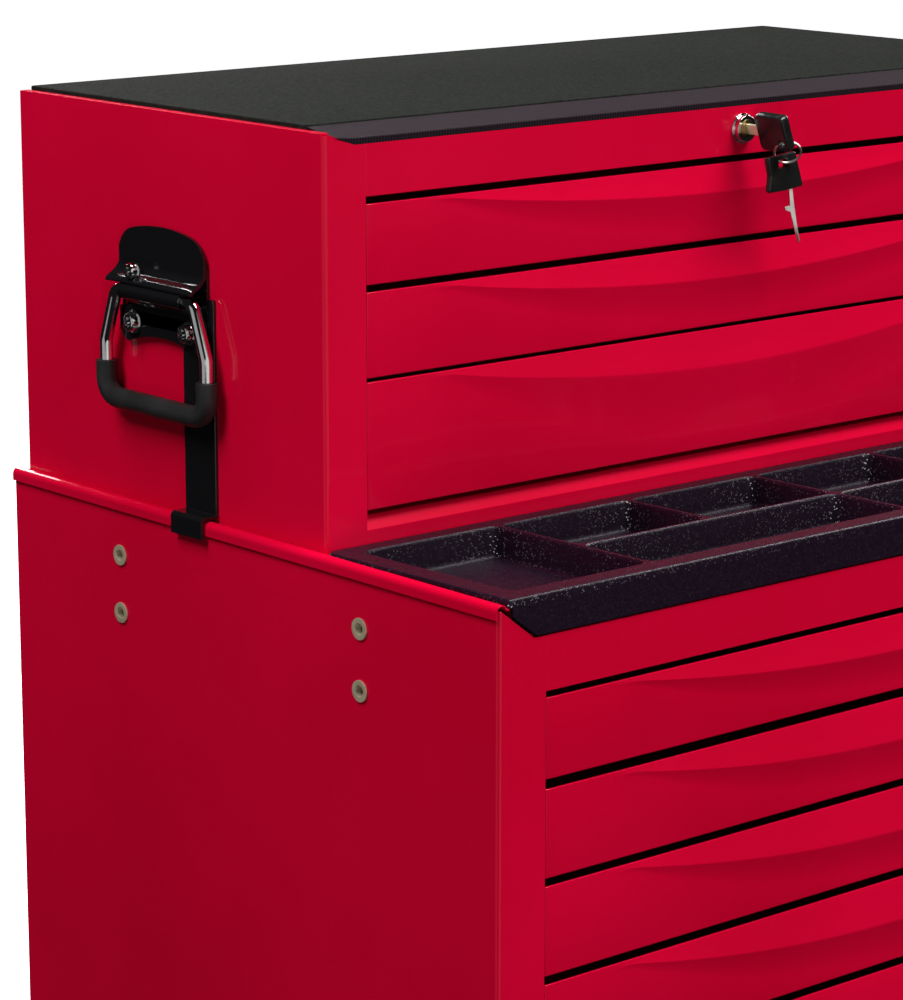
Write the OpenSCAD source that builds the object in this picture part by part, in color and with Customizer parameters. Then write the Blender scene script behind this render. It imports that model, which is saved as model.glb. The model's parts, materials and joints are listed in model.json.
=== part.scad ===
// Rolling tool chest: a flat-topped chest of three drawers that stands on a six-drawer
// roller cabinet, hooked over the cabinet's rolled side edges.
// Millimetres. X runs across the front, Y from front to back, Z up from the floor.

/* [Cabinet] */
// Width of the cabinet over its side panels
cabinet_w = 677; // [660:1:700]
// Depth of the cabinet from the drawer fronts' plane to the back panel
cabinet_d = 468; // [450:1:490]
// Height of the cabinet's upper front rail, down to the first slot
cabinet_rail = 51.3; // [48:0.1:56]
// Pitch of each cabinet drawer, from the top one down
cabinet_pitch = [50.8, 57.5, 57.5, 57.5, 144, 201]; // [45:0.1:240]
// Slot above each cabinet drawer front
cabinet_gap = [3.9, 5.7, 4.8, 5.1, 5, 5]; // [2:0.1:6]
// Height of the lower front rail, with the slot above it
cabinet_base = 35; // [30:1:45]
// Width of each front post of the cabinet
cabinet_post = 34.6; // [30:0.1:38]

/* [Top chest] */
// Width of the top chest over its side panels
chest_w = 660; // [645:1:665]
// Depth of the top chest
chest_d = 304; // [300:1:308]
// Height of the top chest without its mat
chest_h = 242; // [242:1:250]
// Height of the chest's upper front rail, down to the first slot
chest_rail = 37.7; // [37:0.1:40]
// Pitch of each chest drawer, from the top one down
chest_pitch = [51, 54, 77.5]; // [48:0.1:78]
// Slot above each chest drawer front
chest_gap = [4.3, 4.1, 2.4]; // [2:0.1:5]
// Width of each front post of the chest
chest_post = 30.3; // [28:0.1:32]
// Gap between the chest's back and the cabinet's back
chest_setback = 4; // [2:1:8]

/* [Sheet metal] */
// Thickness of the body and drawer sheet
sheet = 1; // [0.8:0.1:1.2]
// Outside radius of the folded front edges
fold_r = 3; // [2:0.5:4]
// How far the crease stands proud at the middle of a drawer front
bulge = 3.5; // [2:0.5:4]
// Half the length of the crease
crease_half = 250; // [230:5:270]

/* [Castors] */
// Height from the floor to the cabinet's floor
castor_h = 150; // [150:1:156]
// Radius of the castor wheels
wheel_r = 62.5; // [60:0.5:62.5]
// Width of the castor wheels
wheel_w = 32; // [28:1:34]
// How far a swivel castor's axle trails its kingpin
trail = 38; // [34:1:40]

/* [Carrying handles] */
// Spacing of a bail's arms at the pivot
bail_top = 76; // [74:1:78]
// Spacing of a bail's arms at the grip
bail_w = 102; // [98:1:104]
// Drop from a bail's pivot to the middle of its grip
bail_drop = 68; // [64:1:72]
// Diameter of a bail's steel rod
bail_rod = 8; // [7.6:0.1:8]
// Diameter of the rubber grip
grip_d = 13; // [12:0.5:13]

/* [Hidden] */

RED = [0.72, 0.02, 0.12];
BLACK = [0.06, 0.06, 0.07];
STEEL = [0.78, 0.78, 0.8];
NICKEL = [0.7, 0.66, 0.55];
GREY = [0.3, 0.3, 0.32];

$fn = 48;

// a running fit's clearance round a pin, and the side gap beside each drawer front
fit = 0.05;
side_gap = 0.4;

// how far a lock's plug stands out of its rail
plug_out = 5.4;

function total(v, n) = n <= 0 ? 0 : v[n - 1] + total(v, n - 1);

// the cabinet's planes
cab_half = cabinet_w / 2;
cab_front = -(cabinet_d + plug_out) / 2 + plug_out;
cab_back = cab_front + cabinet_d;
cab_h = cabinet_rail + total(cabinet_pitch, len(cabinet_pitch)) + cabinet_base;
cab_top = castor_h + cab_h;
cab_open = cab_half - cabinet_post;

// the chest's planes
chest_half = chest_w / 2;
chest_back = cab_back - chest_setback;
chest_front = chest_back - chest_d;
chest_z = cab_top;
chest_top_z = chest_z + chest_h;
chest_open = chest_half - chest_post;

// drawer boxes and their runners
pan_drop = 6;
pan_rise = 3;
pan_front = 11;
shelf_drop = 8;
runner_w = 13.2;
runner_lip = 9.5;
runner_t = 1.2;
runner_play = 1;
runner_start = 12;
runner_grip = 19;
chest_runner_len = 262;
cabinet_runner_len = 422;
flange_y = 22;
upright_y = 42;
crease_steps = 24;
chest_pan_d = 284;
cabinet_pan_d = 446;
chest_crease = [17, 20, 27];
cabinet_crease = [21, 25, 26, 26, 36, 40];

// recessed front edges that the mat and the tray hang into
mat_drop = 7.5;
mat_inset = 7;
mat_bevel = 25;
mat_recess = 3.8;
shoulder = 20;
tray_drop = 19.5;
tray_shoulder = 24;

// the tool tray
tray_half = 332;
tray_rim = 5;
tray_depth = 24;
tray_wall = 3;
tray_lip = 13.5;
tray_divider_x = [-213, -107, 0, 107, 213];
tray_row_y = 73;

// a carrying handle, measured outward (u) from the side panel and up (w) from the
// chest's bottom edge
handle_y = chest_front + chest_d / 2;
pivot_u = 9;
pivot_w = 133;
plate_half = 43;
plate_t = 2;
hook_leg = [-49, -18.5];
scoop_r = 105;
scoop_top = 106.2;
bolt_low = [28, 113];
bolt_high = [33, 143];

// locks
lock_z = chest_top_z - 21.5;
cabinet_lock_z = cab_top - 35;
lock_r = 9.4;
barrel_r = 8;
plug_r = 5.5;
key_turn = 20;

// threaded inserts on the cabinet's sides
insert_y = cab_front + 236.2;
insert_dy = 234;
insert_z = cab_top - 52.2;
insert_dz = 36.5;
insert_r = 3.4;

// castors
castor_x = 262;
castor_y = 168;
castor_mid = (cab_front + cab_back) / 2;
fixed_x = -castor_x;
axle_r = 6;
leg_y = 22;
leg_t = 3;
brake_reach = 72;
brake_angle = 145;

// ---------------------------------------------------------------- helpers

// a box between two opposite corners
module slab(a, b) {
    translate(a)
        cube(b - a);
}

// both sides of the object: the child on the left and its mirror image on the right
module both_sides() {
    children();
    mirror([1, 0, 0])
        children();
}

// a cylinder along X between two places
module bar_x(x0, x1, y, z, r) {
    translate([min(x0, x1), y, z])
        rotate([0, 90, 0])
            cylinder(h = abs(x1 - x0), r = r);
}

// a cylinder along Y between two places
module bar_y(y0, y1, x, z, r) {
    translate([x, max(y0, y1), z])
        rotate([90, 0, 0])
            cylinder(h = abs(y1 - y0), r = r);
}

function arc(c, r, a0, a1, n) =
    [for (i = [0:n]) c + r * [cos(a0 + (a1 - a0) * i / n), sin(a0 + (a1 - a0) * i / n)]];

function unit(v) = v / norm(v);

function side_step(p, i) =
    let (a = p[max(i - 1, 0)], b = p[min(i + 1, len(p) - 1)], d = unit(b - a)) [-d[1], d[0]];

// the outline of a sheet of thickness t that follows the points p
function ribbon(p, t) = concat(
    [for (i = [0:len(p) - 1]) p[i] + side_step(p, i) * t / 2],
    [for (i = [len(p) - 1:-1:0]) p[i] - side_step(p, i) * t / 2]
);

// a profile drawn as (outward, up) on the left side panel, run along Y
module side_profile(y0, y1) {
    translate([-chest_half, y1, chest_z])
        rotate([90, 0, 0])
            mirror([1, 0, 0])
                linear_extrude(y1 - y0)
                    children();
}

// an outline drawn as (along the side, up) on the left side panel, run outward
module side_outline(u0, u1) {
    translate([-chest_half - u1, handle_y, chest_z])
        rotate([90, 0, 90])
            linear_extrude(u1 - u0)
                children();
}

// ---------------------------------------------------------------- folded side panels

// plan of a left side panel folded round its front edge into a post with a return
module side_plan(half, front, back, post) {
    translate([-half, front + fold_r])
        square([sheet, back - front - fold_r]);
    intersection() {
        translate([-half, front])
            square(fold_r);
        translate([-half + fold_r, front + fold_r])
            difference() {
                circle(fold_r);
                circle(fold_r - sheet);
            }
    }
    translate([-half + fold_r, front])
        square([post - fold_r, sheet]);
    translate([-half + post - sheet, front])
        square([sheet, flange_y]);
}

// what is cut from the top of a post so that a mat or tray can hang over the front
module shoulder_cut(half, front, top, drop, run) {
    edge = -half + 2;
    translate([0, front + fold_r + 1, 0])
        rotate([90, 0, 0])
            linear_extrude(fold_r + 2)
                polygon([
                    [edge, top + 1], [edge, top], [edge + run, top - drop],
                    [0, top - drop], [0, top + 1]
                ]);
}

// what is cut from the top of a post's return, down to z, under a mat or a tray's well
module return_cut(open, front, z) {
    slab([-open - 2 * sheet, front + sheet, z],
         [-open + sheet, front + flange_y + 1, z + 40]);
}

module handle_holes() {
    for (b = [bolt_low, bolt_high], s = [-1, 1])
        bar_x(-chest_half - 1, -chest_half + 2, handle_y + s * b[0], chest_z + b[1], 3.2);
}

module chest_side() {
    difference() {
        union() {
            translate([0, 0, chest_z])
                linear_extrude(chest_h - 1)
                    side_plan(chest_half, chest_front, chest_back, chest_post);
            slab([-chest_half, chest_front + fold_r, chest_top_z - 1],
                 [-chest_half + mat_inset - 0.5, chest_back, chest_top_z]);
            slab([-chest_half + fold_r - 1, chest_front, chest_top_z - 1],
                 [-chest_half + mat_inset - 0.5, chest_front + fold_r, chest_top_z]);
        }
        shoulder_cut(chest_half, chest_front, chest_top_z, mat_drop, shoulder);
        return_cut(chest_open, chest_front, chest_top_z - mat_drop - sheet);
        handle_holes();
    }
}

module chest_left_side() {
    color(RED)
        chest_side();
}

module chest_right_side() {
    color(RED)
        mirror([1, 0, 0])
            chest_side();
}

module insert_places() {
    for (s = [-1, 1], t = [-1, 1])
        translate([-cab_half, insert_y + s * insert_dy / 2, insert_z + t * insert_dz / 2])
            rotate([0, 90, 0])
                children();
}

module cabinet_side() {
    difference() {
        translate([0, 0, castor_h])
            linear_extrude(cab_h - sheet)
                side_plan(cab_half, cab_front, cab_back, cabinet_post);
        shoulder_cut(cab_half, cab_front, cab_top - sheet, tray_drop - sheet, tray_shoulder);
        return_cut(cab_open, cab_front, cab_top - tray_depth - 4 * sheet);
        insert_places()
            translate([0, 0, -1])
                cylinder(h = 3, r = 5.2);
    }
}

module cabinet_left_side() {
    color(RED)
        cabinet_side();
}

module cabinet_right_side() {
    color(RED)
        mirror([1, 0, 0])
            cabinet_side();
}

// ---------------------------------------------------------------- backs and floors

// a back panel with the two uprights that carry the runners' rear ends
module back_sheet(half, open, back, z0, z1) {
    slab([-half + sheet, back - sheet, z0], [half - sheet, back, z1]);
    both_sides() {
        slab([-open - sheet, back - upright_y, z0 + 8], [-open, back - sheet, z1 - 12]);
        slab([-open - flange_y, back - 2 * sheet, z0 + 8], [-open, back - sheet, z1 - 12]);
    }
}

module chest_back_panel() {
    color(RED)
        back_sheet(chest_half, chest_open, chest_back, chest_z + sheet, chest_top_z - 4);
}

module cabinet_back_panel() {
    color(RED)
        back_sheet(cab_half, cab_open, cab_back, castor_h + 1.5, cab_top - 1.5 * sheet);
}

// profile of a lower front rail: an upright face, a sloped sill and a return
module rail_profile(face, sill) {
    polygon([
        [0, 0], [0, face], [6, sill], [flange_y, sill],
        [flange_y, sill - sheet], [6.5, sill - sheet], [sheet, face - 0.6], [sheet, 0]
    ]);
}

module floor_sheet(half, open, front, back, z, t, face, sill) {
    slab([-half + sheet, front + flange_y, z], [half - sheet, back - sheet, z + t]);
    slab([-open + sheet, front, z], [open - sheet, front + flange_y + 1, z + t]);
    translate([-open, front, z])
        rotate([90, 0, 90])
            linear_extrude(2 * open)
                rail_profile(face, sill);
}

module chest_floor() {
    sill = chest_h - chest_rail - total(chest_pitch, 3) - 4.2;
    color(RED)
        floor_sheet(chest_half, chest_open, chest_front, chest_back, chest_z, sheet, 10, sill);
}

module cabinet_floor() {
    color(RED)
        difference() {
            floor_sheet(cab_half, cab_open, cab_front, cab_back, castor_h, 1.5,
                        cabinet_base - 11, cabinet_base - 3.6);
            castor_bolt_places()
                translate([0, 0, -1])
                    cylinder(h = 4, r = 4.2);
        }
}

// ---------------------------------------------------------------- tops

// upper front rail: a face with a return along its lower edge
module upper_rail(open, front, z_low, z_high) {
    slab([-open, front, z_low], [open, front + sheet, z_high]);
    slab([-open, front, z_low], [open, front + 12, z_low + sheet]);
}

module chest_top() {
    mat_seat = chest_top_z - mat_recess;
    color(RED)
        difference() {
            union() {
                slab([-chest_half + sheet, chest_front + mat_bevel, mat_seat - sheet],
                     [chest_half - sheet, chest_back - sheet, mat_seat]);
                translate([-chest_open, chest_front, chest_z])
                    rotate([90, 0, 90])
                        linear_extrude(2 * chest_open)
                            polygon([
                                [0, chest_h - mat_drop - 1.2], [0, chest_h - mat_drop],
                                [mat_bevel, chest_h - mat_recess],
                                [mat_bevel, chest_h - mat_recess - sheet],
                                [sheet, chest_h - mat_drop - 1.2]
                            ]);
                upper_rail(chest_open, chest_front, chest_top_z - chest_rail,
                           chest_top_z - mat_drop - 1);
            }
            bar_y(chest_front - 1, chest_front + 2, 0, lock_z, barrel_r + 0.2);
        }
}

// rubber mat: a flat sheet with a bevelled front edge that hangs into the recess
module top_mat() {
    edge = 3.9;
    rise = 2.6;
    seat = chest_h - mat_recess;
    back = chest_d - 1.5;
    color(GREY)
        intersection() {
            translate([-chest_half, chest_front, chest_z])
                rotate([90, 0, 90])
                    linear_extrude(2 * chest_half)
                        polygon([
                            [0, chest_h - mat_drop], [0, chest_h - mat_drop + edge],
                            [mat_bevel, chest_h + rise], [back, chest_h + rise],
                            [back, seat], [mat_bevel, seat]
                        ]);
            translate([0, chest_back, 0])
                rotate([90, 0, 0])
                    linear_extrude(chest_d + 1)
                        mat_front_outline();
        }
}

module mat_front_outline() {
    edge = chest_half - mat_inset;
    z = chest_top_z;
    low = chest_half - shoulder - 2.5;
    polygon([
        [-low, z - mat_drop - 1], [-low, z - mat_drop + 0.4], [-edge, z - 0.9], [-edge, z + 4],
        [edge, z + 4], [edge, z - 0.9], [low, z - mat_drop + 0.4], [low, z - mat_drop - 1]
    ]);
}

// the well that the tool tray's tub drops into, pressed into the cabinet's top
module tray_well(grow, drop) {
    slab([-tray_half + tray_lip - 3 - grow, cab_front + 9 - grow, cab_top - tray_depth - 1 - drop],
         [tray_half - tray_lip + 3 + grow, chest_front - 10 + grow, cab_top + 1]);
}

// the bead rolled along the top of the cabinet's left side
module rolled_edge() {
    mid = [-cab_half + 2.1, -1.4];
    r = 3.6;
    translate([0, cab_back, cab_top])
        rotate([90, 0, 0])
            linear_extrude(cabinet_d)
                polygon(ribbon(concat(
                    [[-tray_half + 1, -0.6]], arc(mid, r, 12, 180, 12), [[mid[0] - r, -5.5]]
                ), sheet));
}

module cabinet_top() {
    rail_top = cab_top - tray_drop;
    color(RED)
        difference() {
            union() {
                difference() {
                    slab([-tray_half - 0.5, cab_front + 5, cab_top - sheet],
                         [tray_half + 0.5, cab_back, cab_top]);
                    tray_well(0, 0);
                    slab([-tray_half + tray_lip - 3, cab_front + 4, cab_top - 2],
                         [tray_half - tray_lip + 3, cab_front + 10, cab_top + 1]);
                }
                difference() {
                    intersection() {
                        tray_well(sheet, sheet);
                        slab([-cab_half, cab_front, 0], [cab_half, cab_back, cab_top]);
                    }
                    tray_well(0, 0);
                    slab([-cab_half, cab_front, rail_top],
                         [cab_half, cab_front + 9, cab_top + 1]);
                }
                both_sides()
                    rolled_edge();
                upper_rail(cab_open, cab_front, cab_top - cabinet_rail, rail_top);
                slab([-cab_open, cab_front, rail_top - sheet],
                     [cab_open, cab_front + 9, rail_top]);
            }
            bar_y(cab_front - 1, cab_front + 2, 0, cabinet_lock_z, barrel_r + 0.2);
        }
}

// ---------------------------------------------------------------- tool tray

module tool_tray() {
    back = chest_front - 1.2;
    tub_half = tray_half - tray_lip;
    tub_front = cab_front + 12;
    tub_back = chest_front - 13;
    rim_top = cab_top + tray_rim;
    row = chest_front - tray_row_y - tray_lip;
    color(BLACK)
        difference() {
            union() {
                slab([-tray_half, cab_front - 1, cab_top], [tray_half, back, rim_top]);
                slab([-tub_half, tub_front, rim_top - tray_depth], [tub_half, tub_back, rim_top]);
                tray_apron();
            }
            tray_cells(tub_half, tub_front, tub_back, row, rim_top);
        }
}

// the cells: one full-depth cell at each end, a front row of two and a back row of four
module tray_cells(tub_half, tub_front, tub_back, row, rim_top) {
    w = tray_wall;
    low = rim_top - tray_depth + w;
    ends = tray_divider_x[len(tray_divider_x) - 1];
    both_sides()
        slab([-tub_half + w, tub_front + w, low], [-ends - w / 2, tub_back - w, rim_top + 1]);
    for (i = [0:len(tray_divider_x) - 2])
        slab([tray_divider_x[i] + w / 2, row + w / 2, low],
             [tray_divider_x[i + 1] - w / 2, tub_back - w, rim_top + 1]);
    both_sides()
        slab([-ends + w / 2, tub_front + w, low], [-w / 2, row - w / 2, rim_top + 1]);
}

// the front apron, cut to the same shoulder as the posts
module tray_apron() {
    low = cab_top - tray_drop + 1;
    side = cab_half - 9;
    translate([0, cab_front + 1, 0])
        rotate([90, 0, 0])
            linear_extrude(2)
                polygon([
                    [-side, cab_top + tray_rim], [-side, cab_top - 5],
                    [-side + tray_shoulder - 6, low], [side - tray_shoulder + 6, low],
                    [side, cab_top - 5], [side, cab_top + tray_rim]
                ]);
}

// ---------------------------------------------------------------- drawers

// bottom and height of drawer front n, counted down from a body's top edge
function front_low(top, rail, pitch, n) = top - rail - total(pitch, n + 1);
function front_high(top, rail, pitch, gap, n) = top - rail - total(pitch, n) - gap[n];

// how strongly the crease shows at x, from 0 at its ends to 1 in the middle
function swell(x) = 1 - (x / crease_half) * (x / crease_half);

// one section of the creased face: points (y, z) from the inside round to the outside
function crease_section(x, front, high, dip, fade) =
    let (
        s = max(swell(x), 0.02),
        z = high - dip * s
    ) [
        [x, front + 0.5, high], [x, front, high], [x, front - bulge * s, z],
        [x, front, z - fade * s], [x, front + 0.5, z - fade * s]
    ];

// the smile-shaped crease pressed into a drawer front
module crease(front, high, dip, fade) {
    n = crease_steps;
    rows = [for (i = [0:n]) crease_section(
        -crease_half + 2 * crease_half * i / n, front, high, dip, fade)];
    points = [for (r = rows, p = r) p];
    sides = [for (i = [0:n - 1], k = [0:4], h = [0, 1])
        let (a = 5 * i + k, b = 5 * i + (k + 1) % 5)
        h == 0 ? [a, a + 5, b] : [b, a + 5, b + 5]];
    caps = [
        [0, 1, 2], [0, 2, 3], [0, 3, 4],
        [5 * n, 5 * n + 2, 5 * n + 1], [5 * n, 5 * n + 3, 5 * n + 2],
        [5 * n, 5 * n + 4, 5 * n + 3]
    ];
    polyhedron(points, concat(sides, caps));
}

// a drawer: a creased front skin with a shelf folded back inside, and the box behind it
module drawer(open, front, low, high, pan_d, dip) {
    half = open - side_gap;
    pan = open - runner_w;
    color(RED) {
        slab([-half, front, low], [half, front + sheet, high]);
        slab([-half, front, low], [half, front + 5, low + sheet]);
        both_sides()
            slab([-half, front, low], [-half + sheet, front + pan_front, high]);
        crease(front, high, dip, min(0.8 * dip, high - low - dip - 3));
        slab([-pan, front + pan_front - sheet, low + pan_rise],
             [pan, front + pan_d, low + pan_rise + sheet]);
        slab([-half, front, high - shelf_drop - sheet],
             [half, front + pan_front, high - shelf_drop]);
        slab([-half, front + pan_front - sheet, low + pan_rise],
             [half, front + pan_front, high - shelf_drop]);
        slab([-pan, front + pan_d - sheet, low + pan_rise],
             [pan, front + pan_d, high - pan_drop]);
        both_sides()
            slab([-pan, front + pan_front - sheet, low + pan_rise],
                 [-pan + sheet, front + pan_d, high - pan_drop]);
    }
}

module chest_drawer(n) {
    drawer(chest_open, chest_front, front_low(chest_top_z, chest_rail, chest_pitch, n),
           front_high(chest_top_z, chest_rail, chest_pitch, chest_gap, n),
           chest_pan_d, chest_crease[n]);
}

module cabinet_drawer(n) {
    drawer(cab_open, cab_front, front_low(cab_top, cabinet_rail, cabinet_pitch, n),
           front_high(cab_top, cabinet_rail, cabinet_pitch, cabinet_gap, n),
           cabinet_pan_d, cabinet_crease[n]);
}

// ---------------------------------------------------------------- runners

// height of a drawer's runners and of their middle above the drawer front's low edge
runner_h = 30;
runner_mid = pan_rise + 20;

// the channel fixed inside a body of the given depth, open towards the drawer: it runs
// from behind the drawer's front skin on to the upright at the back
module fixed_channel(open, front, mid, depth) {
    h = runner_h / 2;
    start = front + runner_start;
    end = front + depth - upright_y + runner_grip;
    both_sides()
        difference() {
            slab([-open, start, mid - h], [-open + runner_t + runner_lip, end, mid + h]);
            slab([-open + runner_t, start - 1, mid - h + runner_t],
                 [-open + 2 * runner_lip, end + 1, mid + h - runner_t]);
        }
}

// the channel that rides on the drawer's side, inside the fixed one
module moving_channel(open, front, mid, length) {
    h = runner_h / 2 - runner_t - runner_play;
    both_sides()
        difference() {
            slab([-open + 3.5, front + 14, mid - h],
                 [-open + runner_w, front + 14 + length, mid + h]);
            slab([-open + 3, front + 13, mid - h + runner_t],
                 [-open + runner_w - runner_t, front + 15 + length, mid + h - runner_t]);
        }
}

module chest_fixed_runners() {
    color(STEEL)
        for (n = [0:2])
            fixed_channel(chest_open, chest_front,
                          front_low(chest_top_z, chest_rail, chest_pitch, n) + runner_mid,
                          chest_d);
}

module cabinet_fixed_runners() {
    color(STEEL)
        for (n = [0:5])
            fixed_channel(cab_open, cab_front,
                          front_low(cab_top, cabinet_rail, cabinet_pitch, n) + runner_mid,
                          cabinet_d);
}

module chest_runners(n) {
    color(STEEL)
        moving_channel(chest_open, chest_front,
                       front_low(chest_top_z, chest_rail, chest_pitch, n) + runner_mid,
                       chest_runner_len);
}

module cabinet_runners(n) {
    color(STEEL)
        moving_channel(cab_open, cab_front,
                       front_low(cab_top, cabinet_rail, cabinet_pitch, n) + runner_mid,
                       cabinet_runner_len);
}

// ---------------------------------------------------------------- locks

// the bezel, the barrel through the rail and the nut behind it
module lock_case(front, z) {
    difference() {
        union() {
            bar_y(front - 1.6, front, 0, z, lock_r);
            bar_y(front - 5, front - 1.6, 0, z, lock_r - 1.2);
            bar_y(front, front + 13, 0, z, barrel_r);
            translate([0, front + 4, z])
                rotate([90, 0, 0])
                    cylinder(h = 3, r = 12, $fn = 6);
        }
        bar_y(front - 6, front + 14, 0, z, plug_r + fit);
    }
}

// the turning plug, with a keyway cut along it
module lock_plug(front, z, turn) {
    difference() {
        bar_y(front - 5.4, front + 14, 0, z, plug_r);
        translate([0, front, z])
            rotate([0, -turn, 0])
                slab([-1.1, -6, -3.6], [1.1, 11, 3.6]);
    }
}

module lock_housing() {
    color(STEEL)
        lock_case(chest_front, lock_z);
}

module cabinet_lock_housing() {
    color(STEEL)
        lock_case(cab_front, cabinet_lock_z);
}

module lock_cylinder() {
    color(STEEL)
        lock_plug(chest_front, lock_z, key_turn);
}

module cabinet_lock_cylinder() {
    color(STEEL)
        lock_plug(cab_front, cabinet_lock_z, 0);
}

// the latch arm on the plug's inner end
module lock_cam() {
    color(STEEL)
        translate([0, chest_front, lock_z])
            rotate([0, -key_turn, 0]) {
                slab([-4, 14, -5], [4, 16, 12]);
                bar_y(16, 19, 0, 0, 4);
            }
}

// the key: a flat blade in the keyway and a moulded head
module key() {
    head = [-40.5, -17];
    reach = 12;
    color(BLACK)
        translate([0, chest_front, lock_z])
            rotate([0, -key_turn, 0]) {
                slab([-0.9, head[1] - 2, -3.2], [0.9, 10, 3.2]);
                difference() {
                    union() {
                        slab([-3.4, head[0], -reach + 2], [3.4, head[1], reach - 2]);
                        slab([-3.4, head[0] + 2, -reach], [3.4, head[1] - 2, reach]);
                    }
                    bar_x(-4, 4, head[0] + 5, -reach + 6, 2.6);
                }
            }
}

// ---------------------------------------------------------------- carrying handles

// the plate's profile: flat flange, flared hood, channel round the rod, lower flange
hood = concat(
    [[3, 171], [3, 157]], arc([10, 157], 7, 195, 222, 3), arc([9, 142.3], 5.4, 48, -42, 8)
);
channel = concat(
    [[3, 171], [3, 157]], arc([10, 157], 7, 195, 222, 3), arc([9, 142.3], 5.4, 48, 0, 5),
    arc([pivot_u, pivot_w], 5.4, 0, -90, 8), [[5.5, 126.6], [3, 124.5], [3, 100]]
);

module handle_outline() {
    edge = [[43, 105], [43, 153], [38, 161.5], [30, 167.3], [15, 169.6], [0, 170.3]];
    difference() {
        polygon(concat(
            [[-36, 101], [36, 101]], edge,
            [for (i = [len(edge) - 2:-1:0]) [-edge[i][0], edge[i][1]]]
        ));
        translate([0, scoop_top - scoop_r])
            circle(scoop_r, $fn = 180);
    }
}

module handle_plate() {
    y = handle_y;
    difference() {
        intersection() {
            union() {
                side_profile(y - plate_half, y + plate_half)
                    polygon(ribbon(hood, plate_t));
                side_profile(y - 31, y + 31)
                    polygon(ribbon(channel, plate_t));
                side_profile(y - plate_half, y + plate_half)
                    translate([2, 100])
                        square([plate_t, 24]);
            }
            side_outline(1, 20)
                handle_outline();
        }
        for (s = [-1, 1]) {
            bar_x(-chest_half - 8, -chest_half, y + s * bolt_low[0], chest_z + bolt_low[1], 3.2);
            bar_x(-chest_half - 20, -chest_half, y + s * bolt_high[0], chest_z + bolt_high[1], 5.6);
        }
    }
}

module handle_plates() {
    color(BLACK)
        both_sides()
            handle_plate();
}

// a round-headed bolt with its nut inside the panel
module handle_bolt(y, z, u) {
    x = -chest_half;
    bar_x(x - u, x + 4, y, z, 3);
    bar_x(x - u - 3, x - u, y, z, 4.8);
    translate([x + 1, y, z])
        rotate([0, 90, 0])
            cylinder(h = 3, r = 5.6, $fn = 6);
}

module handle_bolts() {
    color(STEEL)
        both_sides()
            for (s = [-1, 1]) {
                handle_bolt(handle_y + s * bolt_low[0], chest_z + bolt_low[1], 4);
                handle_bolt(handle_y + s * bolt_high[0], chest_z + bolt_high[1], 2);
            }
}

// a strap behind the handle, ending in a hook over the cabinet's rolled edge
module hook_brackets() {
    hook = [[1, 20], [1, 6], [2.2, 4.3], [11.2, 4.3], [12.3, 3.2], [12.3, -8]];
    color(BLACK)
        both_sides()
            difference() {
                union() {
                    side_outline(0, 2) {
                        intersection() {
                            handle_outline();
                            translate([-plate_half, 104])
                                square([2 * plate_half, 62]);
                        }
                        translate([hook_leg[0], 10])
                            square([hook_leg[1] - hook_leg[0], 125]);
                    }
                    side_profile(handle_y + hook_leg[0], handle_y + hook_leg[1])
                        polygon(ribbon(hook, 2));
                }
                handle_holes();
                for (s = [-1, 1], b = [bolt_low, bolt_high])
                    bar_x(-chest_half - 3, -chest_half, handle_y + s * b[0], chest_z + b[1], 3.2);
            }
}

// a straight stretch of rod between two (along, up) points of the bail's own plane
module rod(a, b, r) {
    d = b - a;
    translate([0, a[0], a[1]])
        rotate([-atan2(d[0], d[1]), 0, 0])
            cylinder(h = norm(d), r = r);
}

// places the bail's own plane at a pivot
module at_pivot() {
    translate([-chest_half - pivot_u, handle_y, chest_z + pivot_w])
        children();
}

bail_bend = 12;
knuckle = 0.3;
arm_end = [bail_w / 2, -bail_drop + 28];

// the grip's path: down one arm from the given height, round both corners and up the other
module grip_path(r, top) {
    h = bail_w / 2;
    for (s = [-1, 1]) {
        rod([s * h, top], [s * h, -bail_drop + bail_bend], r);
        translate([0, s * (h - bail_bend), -bail_drop + bail_bend])
            rotate([s > 0 ? 0 : 180, 90, 0])
                rotate_extrude(angle = 90)
                    translate([bail_bend, 0])
                        circle(r);
    }
    rod([-h + bail_bend, -bail_drop], [h - bail_bend, -bail_drop], r);
}

module bail() {
    r = bail_rod / 2;
    t = bail_top / 2;
    color(STEEL)
        at_pivot() {
            rod([-t + 2, 0], [t - 2, 0], r);
            for (s = [-1, 1]) {
                translate([0, s * (t - 2), 0])
                    sphere(r + knuckle);
                rod([s * (t - 2), 0], [s * arm_end[0], arm_end[1]], r);
                translate([0, s * arm_end[0], arm_end[1]])
                    sphere(r + knuckle);
            }
            grip_path(r, arm_end[1]);
        }
}

module grip() {
    color(BLACK)
        at_pivot()
            difference() {
                grip_path(grip_d / 2, arm_end[1] - 6);
                grip_path(bail_rod / 2, arm_end[1] - 4);
            }
}

module bail_left() {
    bail();
}

module grip_left() {
    grip();
}

module bail_right() {
    mirror([1, 0, 0])
        bail();
}

module grip_right() {
    mirror([1, 0, 0])
        grip();
}

// ---------------------------------------------------------------- side inserts

// flanged threaded inserts, four on each side of the cabinet
module side_inserts() {
    color(NICKEL)
        both_sides()
            insert_places()
                difference() {
                    union() {
                        translate([0, 0, -1.2])
                            cylinder(h = 1.2, r = 6.5);
                        cylinder(h = 12, r = 5);
                    }
                    translate([0, 0, -2])
                        cylinder(h = 15, r = insert_r);
                }
}

// ---------------------------------------------------------------- castors

module castor_bolt_places() {
    for (x = [-castor_x, castor_x], y = [-castor_y, castor_y], s = [-1, 1], t = [-1, 1])
        translate([x + s * 40, castor_mid + y + t * 30, castor_h])
            children();
}

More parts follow.
